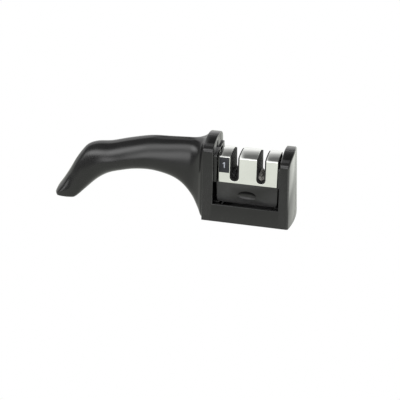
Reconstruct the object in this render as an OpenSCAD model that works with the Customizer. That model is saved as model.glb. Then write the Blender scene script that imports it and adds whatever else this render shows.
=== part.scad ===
// Pull through knife sharpener with an arched handle and a lift-out cartridge
// X runs along the length with the handle to the left, Y is the depth, Z is up
// The origin is at the middle of the footprint, on the surface that it stands on

/* [Overall] */
// Length from the tail of the handle to the bulged right end
overall_l = 228.6; // [215:0.1:245]
// Height of the tall wall beside the handle
crown_h = 74.7; // [72:0.1:79]
// Depth of the head where it stands
base_d = 49.8; // [48:0.1:55]

/* [Handle] */
// Full width of the grip at the middle of the handle
grip_w = 26; // [24:0.1:29]
// Wall of the two moulded shells
shell_t = 2.4; // [2:0.1:2.8]
// Roundness of the grip's underside, 2 is an ellipse
grip_round = 2.5; // [2:0.1:3]
// Lean of the grip's upper flanks, 1 is round and 2 is a parabola
flank_lean = 1.7; // [1:0.1:2]
// Extra squareness of the underside at the tail and at the head
root_square = 6; // [3:0.5:8]

/* [Head] */
// Length of the head along its foot
head_l = 79.2; // [78:0.1:82]
// How far the right end bulges out at the middle
end_bulge = 3; // [2:0.1:4]
// Inward lean of the right end, in degrees
end_draft = 2.4; // [1.5:0.1:3]
// Inward lean of the front and rear faces, in degrees
face_lean = 4.3; // [3.5:0.1:5]
// Thickness of the wall beside the handle
left_wall = 9.8; // [9:0.1:11]
// Thickness of the right wall at its foot
right_wall = 9.6; // [9:0.1:10]
// How much lower the right wall is than the left one
wall_step = 8; // [7:0.1:11]
// Drop from the crown of a wall to its shoulders
shoulder_drop = 4.4; // [4:0.1:6]
// Length of the soft corner at a shoulder
shoulder_soft = 5.5; // [4:0.1:6]
// Height of the front rim below the cartridge
rim_h = 17.2; // [16:0.1:18.4]
// Distance from a crown down to the top of its guide column
column_drop = 11.4; // [10:0.1:14]
// Width of each guide column
column_w = 2.1; // [1.8:0.1:2.4]
// Depth of each guide column
column_d = 33; // [32:0.1:34]
// Radius of a column's soft top corners
column_r = 2.4; // [1.5:0.1:3]
// Height of the columns' foot above the lower block
column_lift = 0.8; // [0.4:0.1:2]
// Depth of the rib below each column
rib_d = 12; // [10:0.1:16]
// Width of the ledge that carries the cartridge
ledge_w = 2.6; // [2:0.1:3.2]
// Height of that ledge
ledge_h = 3; // [2:0.1:4]

/* [Base] */
// Thickness of the bottom cover
cover_t = 2.4; // [2:0.1:3]
// Thickness of the rubber pad
pad_t = 1.6; // [1.2:0.1:2]
// How far the pad stands below the shells
pad_proud = 0.6; // [0.4:0.1:0.9]
// Clearance round the cover and the pad
cover_gap = 0.2; // [0.1:0.05:0.4]

/* [Cartridge] */
// Depth of the cartridge at its foot
cart_d = 30.8; // [30.4:0.1:31.4]
// Height of the cartridge foot above the table
cart_z = 16.8; // [16.4:0.1:17.2]
// Height of the black lower block
block_h = 18.8; // [18.2:0.1:19.4]
// Height of the cover's sharp bend above the table
bend_z = 60; // [59:0.1:61.6]
// Rise of the cover's crowned top
top_rise = 1.6; // [1:0.1:2.4]
// Thickness of the steel cover sheet
sheet_t = 0.8; // [0.6:0.1:1]
// Radius of the block's lower corners
block_r = 3; // [2:0.1:4]
// Clearance between cartridge and guide columns
side_gap = 0.4; // [0.3:0.05:0.6]
// How far the cover's ends stand in from the ends of the lower block
cap_inset = 0.8; // [0.4:0.1:1.2]
// Clearance between the cover and the block under it
skin_gap = 0.05; // [0.03:0.01:0.08]

/* [Slots] */
// Width of a knife slot in the steel cover
slot_w = 8.4; // [8:0.1:8.8]
// How far the plastic stands in from the edge of the cover's slot
slot_rim = 1.3; // [0.9:0.1:1.6]
// Height of a slot's round bottom above the lower block
slot_lift = 1.8; // [1.4:0.1:2.4]
// Width of the thumb recess
thumb_w = 17.2; // [15:0.1:19]
// Height of the thumb recess
thumb_h = 8.8; // [8:0.1:9.6]
// Depth of the thumb recess
thumb_deep = 1.6; // [1.2:0.1:1.8]

/* [Wheels] */
// How far the discs of a pair reach past each other
disc_lap = 0.6; // [0.4:0.1:0.8]
// Thickness of an abrasive disc
disc_t = 1.5; // [1.3:0.1:1.6]
// Distance between the discs of one shaft
disc_pitch = 3.6; // [3.5:0.1:3.7]
// Height of the shafts above the lower block's top
shaft_lift = 2; // [1.6:0.1:2.2]
// Diameter of a shaft
shaft_d = 2.5; // [2.3:0.1:2.7]
// Diameter of the spacers between the discs
spacer_d = 5; // [4.4:0.1:6]
// Outer diameter of a bushing
bush_d = 4.2; // [4:0.1:4.4]
// Length of a bushing
bush_l = 2.2; // [1.8:0.1:2.4]
// Radial clearance of a shaft in its bushing
run_gap = 0.05; // [0.03:0.01:0.08]
// Clearance round a disc in its chamber
disc_gap = 0.5; // [0.4:0.1:0.6]
// Wall between the chambers of the two slots
mid_wall = 0.5; // [0.4:0.1:1]
// Wall between the outer chambers and the ends of the cartridge
end_wall = 3.55; // [3:0.05:4]
// End play of a wheel set
end_play = 0.2; // [0.1:0.05:0.3]

/* [Label] */
// Margin of the stage label beside the slot and the end of the cover
label_edge = 0.5; // [0.3:0.1:0.8]
// Height of the stage label
label_h = 14.5; // [12:0.1:15.6]
// Thickness of the stage label
label_t = 0.25; // [0.2:0.05:0.4]

/* [Screws] */
// Thread diameter of a housing screw
screw_d = 3; // [2.6:0.1:3.2]
// Head diameter of a housing screw
screw_head = 5.6; // [5.2:0.1:6]
// Head height of a housing screw
screw_head_h = 2.2; // [1.8:0.1:2.6]
// Length of a housing screw under its head
screw_l = 13; // [11:0.5:14]
// Outer diameter of a screw boss
boss_d = 8; // [7.6:0.1:8.4]
// Distance from the seam to the seat of a screw head
seat_y = 5; // [4:0.5:6]
// Thread diameter of a cartridge screw
pin_d = 2; // [1.8:0.1:2.2]
// Head diameter of a cartridge screw
pin_head = 3.8; // [3.4:0.1:4]
// Head height of a cartridge screw
pin_head_h = 1.4; // [1.2:0.1:1.6]
// Length of a cartridge screw under its head
pin_l = 11; // [9:0.5:12]
// Clearance round a screw
screw_gap = 0.1; // [0.05:0.05:0.15]

/* [Hidden] */
$fn = 48;

// Overrun of every cut past the solid that it opens
cut = shell_t / 2;

half_d = base_d / 2;
head_x = overall_l / 2 - end_bulge - head_l;
handle_l = overall_l - head_l - end_bulge;
right_crown = crown_h - wall_step;
well_x0 = left_wall;
well_x1 = head_l - right_wall;
well_mid = (well_x0 + well_x1) / 2;
cart_w = well_x1 - well_x0 - 2 * (column_w + side_gap);
cap_w = cart_w - 2 * cap_inset;
ledge_z = cart_z - ledge_h;
cover_top = pad_t + cover_t;
block_top = cart_z + block_h;
pair_w = (cart_w - mid_wall) / 2 - end_wall;
disc_d = (pair_w + disc_lap) / 2 - disc_gap;
shaft_gap = disc_d - disc_lap;
slot_pitch = pair_w + mid_wall;
label_w = (cap_w - slot_pitch - slot_w) / 2 - 2 * label_edge;
slot_z = block_top + slot_lift + slot_w / 2;
shaft_z = block_top + shaft_lift;
column_z = block_top + column_lift;
end_r = (half_d * half_d + end_bulge * end_bulge) / (2 * end_bulge);
core_in = sheet_t + skin_gap;

// Height of the thumb recess within the lower block
thumb_share = 0.44;
// Height of the widest line within a section of the grip
belly_share = 0.42;

// Wheel sets: the coarse slot is on the left, the fine slot on the right
coarse_x = -slot_pitch / 2;
fine_x = slot_pitch / 2;
left_count = 5;
right_count = 4;
stack_half = (left_count - 1) / 2 * disc_pitch + disc_t / 2 + bush_l / 2;
chamber_y = stack_half + end_play;
shaft_l = 2 * (chamber_y + bush_l - end_play);

black = "#2a2b2d";
soft_black = "#1d1e20";
steel = "#c9ccca";
brass = "#b59a5b";
grit = "#5b5b58";
ceramic = "#e4e1d8";

// Handle stations from the tail to the wall: top X and Z, bottom X and Z,
// half width as a share of the grip, and the shares of flare to the head and
// of extra squareness below
station_shares = [
    [-1.000, 0.056, -0.998, 0.018, 0.53, 0, 0.55],
    [-0.984, 0.112, -0.975, 0.000, 0.91, 0, 0.80],
    [-0.946, 0.217, -0.920, 0.000, 1.05, 0, 0.90],
    [-0.904, 0.346, -0.865, 0.002, 1.06, 0, 0.60],
    [-0.859, 0.496, -0.800, 0.108, 1.05, 0, 0.18],
    [-0.813, 0.622, -0.732, 0.234, 1.05, 0, 0.04],
    [-0.772, 0.704, -0.678, 0.314, 1.03, 0, 0],
    [-0.712, 0.752, -0.623, 0.372, 1.01, 0, 0],
    [-0.619, 0.778, -0.551, 0.418, 1.00, 0, 0],
    [-0.496, 0.845, -0.455, 0.460, 1.00, 0, 0],
    [-0.358, 0.905, -0.344, 0.468, 1.00, 0, 0],
    [-0.234, 0.920, -0.231, 0.420, 1.00, 0, 0],
    [-0.138, 0.931, -0.150, 0.335, 1.01, 0.03, 0.06],
    [-0.072, 0.938, -0.084, 0.212, 1.02, 0.17, 0.30],
    [-0.028, 0.956, -0.038, 0.090, 1.02, 0.54, 0.70],
    [-0.008, 0.970, -0.012, 0.014, 1.02, 0.86, 1],
    [0.008, 0.985, 0.008, 0.000, 1.02, 0.98, 1]
];
last_station = len(station_shares) - 1;
// Rings between two stations, and points on a half ring
ring_steps = 2;
ring_points = 12;
// Ring at which the hollow of the handle begins
hollow_ring = 3;

// Screw places along the handle, as shares of its length and of the crown's height,
// and the height of the one whose boss stands on the tall wall
screw_shares = [[-0.865, 0.19], [-0.42, 0.61]];
root_share = 0.46;
foot_screw_in = boss_d / 2 + column_w / 2;
foot_screw_z = cover_top + boss_d / 2 + cover_gap;
screw_places = concat(
    [for (s = screw_shares) [s[0] * handle_l, s[1] * crown_h]],
    [[(shell_t - boss_d) / 2, root_share * crown_h]],
    [[well_x0 + foot_screw_in, foot_screw_z], [well_x1 - foot_screw_in, foot_screw_z]]
);
tip_depth = screw_l - seat_y + cut;
post_d = boss_d * 3 / 4;
post_h = rim_h - cover_top - ledge_h;
base_screw_l = post_h * 3 / 4;
post_y = half_d - shell_t - post_d / 2;
post_places = [
    for (x = [well_x0 + 2 * boss_d, well_x1 - 2 * boss_d], y = [-post_y, post_y]) [x, y]
];
pin_low = cart_z + block_h * 2 / 5;
pin_high = block_top + (bend_z - block_top) * 2 / 3;
pin_out = slot_pitch * 3 / 4;
pin_places = [[-pin_out, pin_low], [pin_out, pin_low], [0, pin_high]];

function mix(a, b, t) = a + (b - a) * t;

// Smooth curve through four neighbouring stations
function spline(a, b, c, d, t) =
    (2 * b + (c - a) * t + (2 * a - 5 * b + 4 * c - d) * t * t
        + (3 * b - a - 3 * c + d) * t * t * t) / 2;

function station(i) = station_shares[max(0, min(last_station, i))];

function station_at(u) =
    let (i = min(floor(u), last_station - 1))
    spline(station(i - 1), station(i), station(i + 1), station(i + 2), u - i);

function signed_power(v, e) = sign(v) * pow(abs(v), e);

// Depth of the leaning faces of the head and of the cartridge at a height
function face_y(z) = half_d - z * tan(face_lean);
function cart_y(z) = cart_d / 2 - (z - cart_z) * tan(face_lean);

// Half ring of the handle from its top round to its bottom, ends on the seam
function half_ring(u, inset, side) =
    let (
        s = station_at(u),
        top = [s[0] * handle_l, s[1] * crown_h],
        low = [s[2] * handle_l, max(0, s[3]) * crown_h],
        flare = max(0, s[5]),
        square = max(0, s[6]),
        belly = mix(belly_share, 1 / 2, flare),
        mid = mix(low, top, belly),
        height = norm(top - low),
        up = (top - low) / height,
        wide = mix(grip_w / 2 * s[4], half_d, flare) - inset
    )
    [
        for (k = [0 : ring_points])
            let (
                a = 90 - 180 * k / ring_points,
                e = 2 / (grip_round + (a < 0 ? root_square * square : flare)),
                rise_e = a > 0 ? mix(flank_lean, e, flare) : e,
                side_e = a > 0 ? mix(1, e, flare) : e,
                span = height * (a > 0 ? 1 - belly : belly) - inset,
                v = span * signed_power(sin(a), rise_e),
                z = mid[1] + up[1] * v,
                y = wide * signed_power(cos(a), side_e) * (1 - flare * z * tan(face_lean) / half_d)
            )
            [mid[0] + up[0] * v, side * y, z]
    ];

function quad(a, b, c, d) = [[a, b, c], [a, c, d]];

function flipped(faces) = [for (f = faces) [for (i = [len(f) - 1 : -1 : 0]) f[i]]];

// Skin between neighbouring half rings that start at a point number
function skin_faces(start, rings) = [
    for (r = [0 : rings - 1], k = [0 : ring_points - 1])
        let (
            a = start + r * (ring_points + 1) + k,
            c = a + ring_points + 1
        )
        each [[a, a + 1, c + 1], [a, c + 1, c]]
];

// One hollow half of the handle as a single closed skin, flat along the seam
module handle_half(side) {
    rings = last_station * ring_steps;
    size = ring_points + 1;
    outer = [for (r = [0 : rings]) each half_ring(r / ring_steps, 0, side)];
    inner = [for (r = [hollow_ring : rings]) each half_ring(r / ring_steps, shell_t, side)];
    i0 = len(outer);
    function top_o(r) = r * size;
    function low_o(r) = r * size + ring_points;
    function top_i(r) = i0 + (r - hollow_ring) * size;
    function low_i(r) = top_i(r) + ring_points;
    last = rings;
    faces = concat(
        skin_faces(0, rings),
        flipped(skin_faces(i0, rings - hollow_ring)),
        [for (k = [1 : ring_points - 1]) [0, k + 1, k]],
        [for (k = [1 : ring_points - 1]) [i0, i0 + k, i0 + k + 1]],
        [for (r = [0 : hollow_ring - 2]) each quad(top_o(r), top_o(r + 1), low_o(r + 1), low_o(r))],
        quad(top_o(hollow_ring - 1), top_o(hollow_ring), top_i(hollow_ring), low_i(hollow_ring)),
        quad(low_i(hollow_ring), low_o(hollow_ring), low_o(hollow_ring - 1), top_o(hollow_ring - 1)),
        [for (r = [hollow_ring : last - 1]) each quad(top_o(r), top_o(r + 1), top_i(r + 1), top_i(r))],
        [for (r = [hollow_ring : last - 1]) each quad(low_i(r), low_i(r + 1), low_o(r + 1), low_o(r))],
        [
            for (k = [0 : ring_points - 1])
                each quad(top_o(last) + k, top_o(last) + k + 1, top_i(last) + k + 1, top_i(last) + k)
        ]
    );
    polyhedron(concat(outer, inner), side > 0 ? faces : flipped(faces));
}

// Half of a wall seen from its end: leaning face, soft shoulder, crowned top
function wall_side(crown, inset) =
    let (
        knee = [face_y(crown - shoulder_drop), crown - shoulder_drop],
        r = (knee[0] * knee[0] + shoulder_drop * shoulder_drop) / (2 * shoulder_drop),
        low = [face_y(knee[1] - shoulder_soft), knee[1] - shoulder_soft],
        reach = knee[0] - shoulder_soft,
        high = [reach, crown - r + sqrt(r * r - reach * reach)],
        steps = 6
    )
    concat(
        [
            for (k = [0 : steps])
                let (t = k / steps, p = mix(mix(low, knee, t), mix(knee, high, t), t))
                [p[0] - inset, p[1] - inset]
        ],
        [
            for (k = [1 : steps - 1])
                let (y = reach * (1 - k / steps))
                [y * (1 - inset / reach), crown - inset - r + sqrt(r * r - y * y)]
        ]
    );

// Points on one side of the seam, or on both where side is zero
function both_sides(points, z0, foot_y, crest, side) =
    let (
        right = concat([[foot_y, z0]], points),
        left = [for (i = [len(right) - 1 : -1 : 0]) [-right[i][0], right[i][1]]]
    )
    side > 0 ? concat([[0, z0]], right, [[0, crest]]) :
    side < 0 ? concat([[0, crest]], left, [[0, z0]]) :
    concat(right, [[0, crest]], left);

module along_x(x0, x1) {
    translate([x0, 0, 0])
        rotate([90, 0, 90])
            linear_extrude(x1 - x0)
                children();
}

module along_y(y0, y1) {
    translate([0, y1, 0])
        rotate([90, 0, 0])
            linear_extrude(y1 - y0)
                children();
}

// Rod along Y at a place in X and Z
module rod(place, d, y0, y1) {
    translate([place[0], y1, place[1]])
        rotate([90, 0, 0])
            cylinder(h = y1 - y0, d = d);
}

module wall_block(x0, x1, crown, inset, z0, side) {
    along_x(x0, x1)
        polygon(both_sides(wall_side(crown, inset), z0, face_y(z0) - inset, crown - inset, side));
}

module foot_bar(x0, x1, inset, z0, z1, side) {
    along_x(x0, x1)
        polygon(both_sides([[face_y(z1) - inset, z1]], z0, face_y(z0) - inset, z1, side));
}

// Room to the left of the bulged and leaning right end
module end_limit(inset) {
    translate([head_l, 0, 0])
        rotate([0, -end_draft, 0])
            translate([end_bulge - end_r - inset, 0, -crown_h])
                cylinder(h = 3 * crown_h, r = end_r, $fn = 240);
}

// Solid walls and foot of one half of the head
module head_half(side) {
    wall_block(0, left_wall, crown_h, 0, pad_proud, side);
    intersection() {
        union() {
            foot_bar(left_wall / 2, head_l + end_bulge, 0, pad_proud, rim_h, side);
            wall_block(well_x1, head_l + end_bulge, right_crown, 0, pad_proud, side);
        }
        end_limit(0);
    }
}

// Hollows of the head: both walls, the trough under the cartridge, the cover's seat
module head_hollow() {
    wall_block(shell_t, left_wall - shell_t, crown_h, shell_t, -cut, 0);
    foot_bar(well_x0, well_x1, shell_t, -cut, rim_h + cut, 0);
    intersection() {
        union() {
            wall_block(well_x1 + shell_t, head_l + end_bulge, right_crown, shell_t, -cut, 0);
            foot_bar(shell_t, head_l + end_bulge, shell_t, -cut, cover_top, 0);
        }
        end_limit(shell_t);
    }
}

module half_cube(x0, x1, z0, z1, d, side) {
    translate([x0, side < 0 ? -d / 2 : 0, z0])
        cube([x1 - x0, d / 2, z1 - z0]);
}

// Half of a guide column with a soft top corner, on the narrower rib below it
module column(x0, x1, z1, side) {
    steps = 6;
    corner = [
        for (k = [0 : steps])
            let (a = 90 * k / steps)
            [column_d / 2 - column_r * (1 - cos(a)), z1 - column_r * (1 - sin(a))]
    ];
    along_x(x0, x1)
        polygon(both_sides(corner, column_z, column_d / 2, z1, side));
    half_cube(x0, x1, ledge_z, column_z + cut, rib_d, side);
}

// Guide columns beside the cartridge and the ledges that carry it
module guides(side) {
    column(well_x0 - cut, well_x0 + column_w, crown_h - column_drop, side);
    column(well_x1 - column_w, well_x1 + cut, right_crown - column_drop, side);
    half_cube(well_x0 - cut, well_x0 + column_w + ledge_w, ledge_z, cart_z, column_d, side);
    half_cube(well_x1 - column_w - ledge_w, well_x1 + cut, ledge_z, cart_z, column_d, side);
}

// How deep a boss reaches: to the middle of the shell wall beside it, and on the tall
// wall just past the screw's tip, clear of the handle's flare
function boss_reach(place) =
    place[0] > 0 ? face_y(place[1] + boss_d / 2) - shell_t / 2 :
    place[0] > -boss_d ? tip_depth + shell_t / 2 :
    grip_w / 2 - shell_t / 2;

module bosses(side) {
    for (p = screw_places)
        let (reach = boss_reach(p))
            rod(p, boss_d, side < 0 ? -reach : 0, side < 0 ? 0 : reach);
    for (p = post_places)
        if (sign(p[1]) == side)
            translate([p[0], p[1], cover_top])
                cylinder(h = post_h, d = post_d);
}

module shell_holes(side) {
    for (p = screw_places) {
        rod(p, screw_d + 2 * screw_gap, -tip_depth, seat_y + cut);
        if (side > 0)
            rod(p, screw_head + 4 * screw_gap, seat_y, half_d + cut);
    }
    for (p = post_places)
        translate([p[0], p[1], cover_top - cut])
            cylinder(h = cut + base_screw_l, d = screw_d + 2 * screw_gap);
}

module shell(side) {
    translate([head_x, 0, 0])
        difference() {
            union() {
                handle_half(side);
                difference() {
                    head_half(side);
                    head_hollow();
                }
                guides(side);
                bosses(side);
            }
            shell_holes(side);
        }
}

module front_shell() color(black) {
    shell(-1);
}

module rear_shell() color(black) {
    shell(1);
}

// Pan head screw along Y with a cross recess, its head towards the rear
module cross_screw(place, d, head_d, head_h, length, seat) {
    difference() {
        union() {
            rod(place, d, seat - length, seat);
            rod(place, head_d, seat, seat + head_h);
        }
        for (turn = [0, 90])
            translate([place[0], seat + head_h, place[1]])
                rotate([0, turn, 0])
                    cube([head_d * 3 / 5, head_h, head_d / 6], center = true);
    }
}

module housing_screws() color(steel) {
    translate([head_x, 0, 0])
        for (p = screw_places)
            cross_screw(p, screw_d, screw_head, screw_head_h, screw_l, seat_y);
}

// Flat plate that fills the mouth of the head between two heights
module foot_plate(z0, z1) {
    inset = shell_t + cover_gap;
    intersection() {
        foot_bar(inset, head_l + end_bulge, inset, z0, z1, 0);
        end_limit(inset);
    }
}

module base_cover() color(black) {
    translate([head_x, 0, 0])
        difference() {
            foot_plate(pad_t, cover_top);
            for (p = post_places)
                translate([p[0], p[1], pad_t - cut]) {
                    cylinder(h = cut + cover_t * 2, d = screw_d + 2 * screw_gap);
                    cylinder(h = cut + cover_t / 2, d = screw_head + 4 * screw_gap);
                }
        }
}

module base_screws() color(steel) {
    seat = pad_t + cover_t / 2;
    translate([head_x, 0, 0])
        for (p = post_places)
            translate([p[0], p[1], 0]) {
                translate([0, 0, pad_t])
                    cylinder(h = seat - pad_t, d = screw_head);
                translate([0, 0, seat])
                    cylinder(h = cover_t / 2 + base_screw_l - screw_gap, d = screw_d);
            }
}

module base_pad() color(soft_black) {
    translate([head_x, 0, 0])
        foot_plate(0, pad_t);
}

// Outline of the cartridge cover from its end: leaning legs, sharp bend, crowned top
function cap_side(inset) =
    let (
        w = cart_y(bend_z),
        r = (w * w + top_rise * top_rise) / (2 * top_rise),
        steps = 6
    )
    concat(
        [[w - inset, bend_z - inset]],
        [
            for (k = [1 : steps - 1])
                let (y = w * (1 - k / steps))
                [y * (1 - inset / w), bend_z + top_rise - inset - r + sqrt(r * r - y * y)]
        ]
    );

module cap_block(inset, z0, side) {
    along_x(-cap_w / 2, cap_w / 2)
        polygon(both_sides(cap_side(inset), z0, cart_y(z0) - inset, bend_z + top_rise - inset, side));
}

// Knife slot with a round bottom, open to the top
module slot_cut(x, w) {
    rod([x, slot_z], w, -cart_d, cart_d);
    translate([x - w / 2, -cart_d, slot_z])
        cube([w, 2 * cart_d, bend_z]);
}

// Front view of the lower block with its rounded lower corners
module block_outline() {
    half = cart_w / 2;
    steps = 6;
    corner = [
        for (k = [0 : steps])
            let (a = 90 * k / steps)
            [half - block_r + block_r * sin(a), cart_z + block_r - block_r * cos(a)]
    ];
    left = [for (i = [steps : -1 : 0]) [-corner[i][0], corner[i][1]]];
    polygon(concat(corner, [[half, block_top], [-half, block_top]], left));
}

module lower_block(side) {
    intersection() {
        along_y(-cart_d, cart_d)
            block_outline();
        along_x(-cart_w, cart_w)
            polygon(both_sides([[cart_y(block_top), block_top]], cart_z, cart_y(cart_z), block_top, side));
    }
}

// Oval recess for the thumb in the face of the lower block
module thumb_recess(side) {
    z = cart_z + block_h * thumb_share;
    depth = cart_y(z) - thumb_deep;
    steps = 32;
    along_y(side < 0 ? -cart_d : depth, side < 0 ? -depth : cart_d)
        polygon([
            for (k = [0 : steps - 1])
                let (a = 360 * k / steps)
                [thumb_w / 2 * cos(a), z + thumb_h / 2 * sin(a)]
        ]);
}

function shaft_x(slot_x, end) = slot_x + end * shaft_gap / 2;

shaft_places = [
    for (x = [coarse_x, fine_x], end = [-1, 1]) [shaft_x(x, end), shaft_z]
];

module cartridge_half(side) {
    translate([head_x + well_mid, 0, 0])
        difference() {
            union() {
                lower_block(side);
                cap_block(core_in, block_top - cut, side);
            }
            for (x = [coarse_x, fine_x])
                slot_cut(x, slot_w - 2 * slot_rim);
            for (p = shaft_places) {
                rod(p, disc_d + 2 * disc_gap, -chamber_y, chamber_y);
                rod(p, bush_d, -chamber_y - bush_l, chamber_y + bush_l);
            }
            thumb_recess(side);
            for (p = pin_places) {
                rod(p, pin_d + 2 * screw_gap, -(pin_l - seat_y + cut), seat_y + cut);
                if (side > 0)
                    rod(p, pin_head + 4 * screw_gap, seat_y, cart_d);
            }
        }
}

module cartridge_front_half() color(black) {
    cartridge_half(-1);
}

module cartridge_rear_half() color(black) {
    cartridge_half(1);
}

module cartridge_cover() color(steel) {
    translate([head_x + well_mid, 0, 0])
        difference() {
            cap_block(0, block_top + skin_gap, 0);
            cover_hollow();
            for (x = [coarse_x, fine_x])
                slot_cut(x, slot_w);
        }
}

// Hollow of the folded cover, run out past both open ends
module cover_hollow() {
    for (shift = [-cut, cut])
        translate([shift, 0, 0])
            cap_block(sheet_t, block_top - cut, 0);
}

module cartridge_screws() color(steel) {
    translate([head_x + well_mid, 0, 0])
        for (p = pin_places)
            cross_screw(p, pin_d, pin_head, pin_head_h, pin_l, seat_y);
}

module bushings(slot_x) {
    translate([head_x + well_mid, 0, 0])
        for (end = [-1, 1], side = [-1, 1])
            let (p = [shaft_x(slot_x, end), shaft_z], y = side * (chamber_y + bush_l / 2))
                difference() {
                    rod(p, bush_d, y - bush_l / 2, y + bush_l / 2);
                    rod(p, shaft_d + 2 * run_gap, y - bush_l, y + bush_l);
                }
}

module coarse_bushings() color(brass) {
    bushings(coarse_x);
}

module fine_bushings() color(brass) {
    bushings(fine_x);
}

// Thin plate stuck to the leaning front of the cover, left of the coarse slot
module stage_label() color(soft_black) {
    z1 = bend_z - label_t * 2;
    z0 = z1 - label_h;
    x0 = head_x + well_mid - cap_w / 2 + label_edge;
    along_x(x0, x0 + label_w)
        polygon([
            [-cart_y(z0), z0], [-cart_y(z1), z1],
            [-cart_y(z1) - label_t, z1], [-cart_y(z0) - label_t, z0]
        ]);
}

// Places of the discs along a shaft
function disc_places(count) = [for (i = [0 : count - 1]) (i - (count - 1) / 2) * disc_pitch];

module wheel_shaft(slot_x, end) {
    translate([head_x + well_mid, 0, 0])
        rod([shaft_x(slot_x, end), shaft_z], shaft_d, -shaft_l / 2, shaft_l / 2);
}

module ring(place, d, y0, y1) {
    difference() {
        rod(place, d, y0, y1);
        rod(place, shaft_d, y0 - cut, y1 + cut);
    }
}

module wheel_discs(slot_x, end, count) {
    translate([head_x + well_mid, 0, 0])
        for (y = disc_places(count))
            ring([shaft_x(slot_x, end), shaft_z], disc_d, y - disc_t / 2, y + disc_t / 2);
}

module wheel_spacers(slot_x, end, count) {
    p = [shaft_x(slot_x, end), shaft_z];
    places = disc_places(count);
    last = places[count - 1] + disc_t / 2;
    translate([head_x + well_mid, 0, 0]) {
        for (i = [0 : count - 2])
            ring(p, spacer_d, places[i] + disc_t / 2, places[i + 1] - disc_t / 2);
        for (side = [-1, 1])
            ring(p, spacer_d, side < 0 ? -stack_half : last, side < 0 ? -last : stack_half);
    }
}

module coarse_left_shaft() color(steel) {
    wheel_shaft(coarse_x, -1);
}

module coarse_left_discs() color(grit) {
    wheel_discs(coarse_x, -1, left_count);
}

module coarse_left_spacers() color(soft_black) {
    wheel_spacers(coarse_x, -1, left_count);
}

module coarse_right_shaft() color(steel) {
    wheel_shaft(coarse_x, 1);
}

module coarse_right_discs() color(grit) {
    wheel_discs(coarse_x, 1, right_count);
}

module coarse_right_spacers() color(soft_black) {
    wheel_spacers(coarse_x, 1, right_count);
}

module fine_left_shaft() color(steel) {
    wheel_shaft(fine_x, -1);
}

module fine_left_discs() color(ceramic) {
    wheel_discs(fine_x, -1, left_count);
}

module fine_left_spacers() color(soft_black) {
    wheel_spacers(fine_x, -1, left_count);
}

module fine_right_shaft() color(steel) {
    wheel_shaft(fine_x, 1);
}

module fine_right_discs() color(ceramic) {
    wheel_discs(fine_x, 1, right_count);
}

module fine_right_spacers() color(soft_black) {
    wheel_spacers(fine_x, 1, right_count);
}

front_shell();
rear_shell();
housing_screws();
base_cover();
base_screws();
base_pad();
cartridge_front_half();
cartridge_rear_half();
cartridge_cover();
cartridge_screws();
coarse_bushings();
fine_bushings();
stage_label();
coarse_left_shaft();
coarse_left_discs();
coarse_left_spacers();
coarse_right_shaft();
coarse_right_discs();
coarse_right_spacers();
fine_left_shaft();
fine_left_discs();
fine_left_spacers();
fine_right_shaft();
fine_right_discs();
fine_right_spacers();
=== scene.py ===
"""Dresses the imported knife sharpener: finer mouldings, polished cap, materials, light and camera."""
import math

import bmesh
import bpy
from mathutils import Matrix, Vector


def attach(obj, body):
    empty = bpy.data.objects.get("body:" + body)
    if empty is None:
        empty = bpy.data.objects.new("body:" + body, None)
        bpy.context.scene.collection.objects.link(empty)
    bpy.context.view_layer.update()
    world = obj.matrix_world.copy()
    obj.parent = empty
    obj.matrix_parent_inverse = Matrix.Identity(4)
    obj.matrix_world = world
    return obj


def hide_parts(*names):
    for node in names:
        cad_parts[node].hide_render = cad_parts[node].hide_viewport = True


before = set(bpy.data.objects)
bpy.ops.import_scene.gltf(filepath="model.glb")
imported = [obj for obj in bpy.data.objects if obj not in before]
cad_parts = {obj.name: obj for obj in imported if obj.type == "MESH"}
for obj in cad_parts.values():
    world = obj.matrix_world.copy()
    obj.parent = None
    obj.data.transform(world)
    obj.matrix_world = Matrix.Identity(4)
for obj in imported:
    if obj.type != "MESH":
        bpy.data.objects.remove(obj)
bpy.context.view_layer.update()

MM = 0.001

# Sizes of the model, in millimetres
OVERALL_L, CROWN_H, BASE_D = 228.6, 74.7, 49.8
GRIP_W, SHELL_T, GRIP_ROUND, FLANK_LEAN, BELLY, ROOT_SQUARE = 26.0, 2.4, 2.5, 1.7, 0.42, 6.0
HEAD_L, END_BULGE, END_DRAFT, FACE_LEAN = 79.2, 3.0, math.radians(2.4), math.radians(4.3)
LEFT_WALL, RIGHT_WALL, WALL_STEP = 9.8, 9.6, 8.0
SHOULDER_DROP, SHOULDER_SOFT = 4.4, 5.5
RIM_H, COLUMN_DROP, COLUMN_W, COLUMN_D, COLUMN_R, COLUMN_LIFT, RIB_D = 17.2, 11.4, 2.1, 33.0, 2.4, 0.8, 12.0
LEDGE_W, LEDGE_H = 2.6, 3.0
COVER_T, PAD_T, PAD_PROUD = 2.4, 1.6, 0.6
CART_D, CART_Z, BLOCK_H, BEND_Z, TOP_RISE = 30.8, 16.8, 18.8, 60.0, 1.6
SHEET_T, BLOCK_R, SIDE_GAP, CAP_INSET, SKIN_GAP = 0.8, 3.0, 0.4, 0.8, 0.05
SLOT_W, SLOT_RIM, SLOT_PITCH, SLOT_LIFT = 8.4, 1.3, 24.1, 1.8
THUMB_W, THUMB_H, THUMB_DEEP, THUMB_SHARE = 17.2, 8.8, 1.6, 0.44
DISC_D, DISC_GAP, SHAFT_GAP, SHAFT_LIFT = 11.6, 0.5, 11.0, 2.0
CHAMBER_Y = 9.25
LABEL_EDGE, LABEL_H, LABEL_T = 0.5, 14.5, 0.25
BOSS_D, SCREW_HEAD, SCREW_GAP, SEAT_Y = 8.0, 5.6, 0.1, 5.0
CARRIER_HEAD = 3.8

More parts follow.
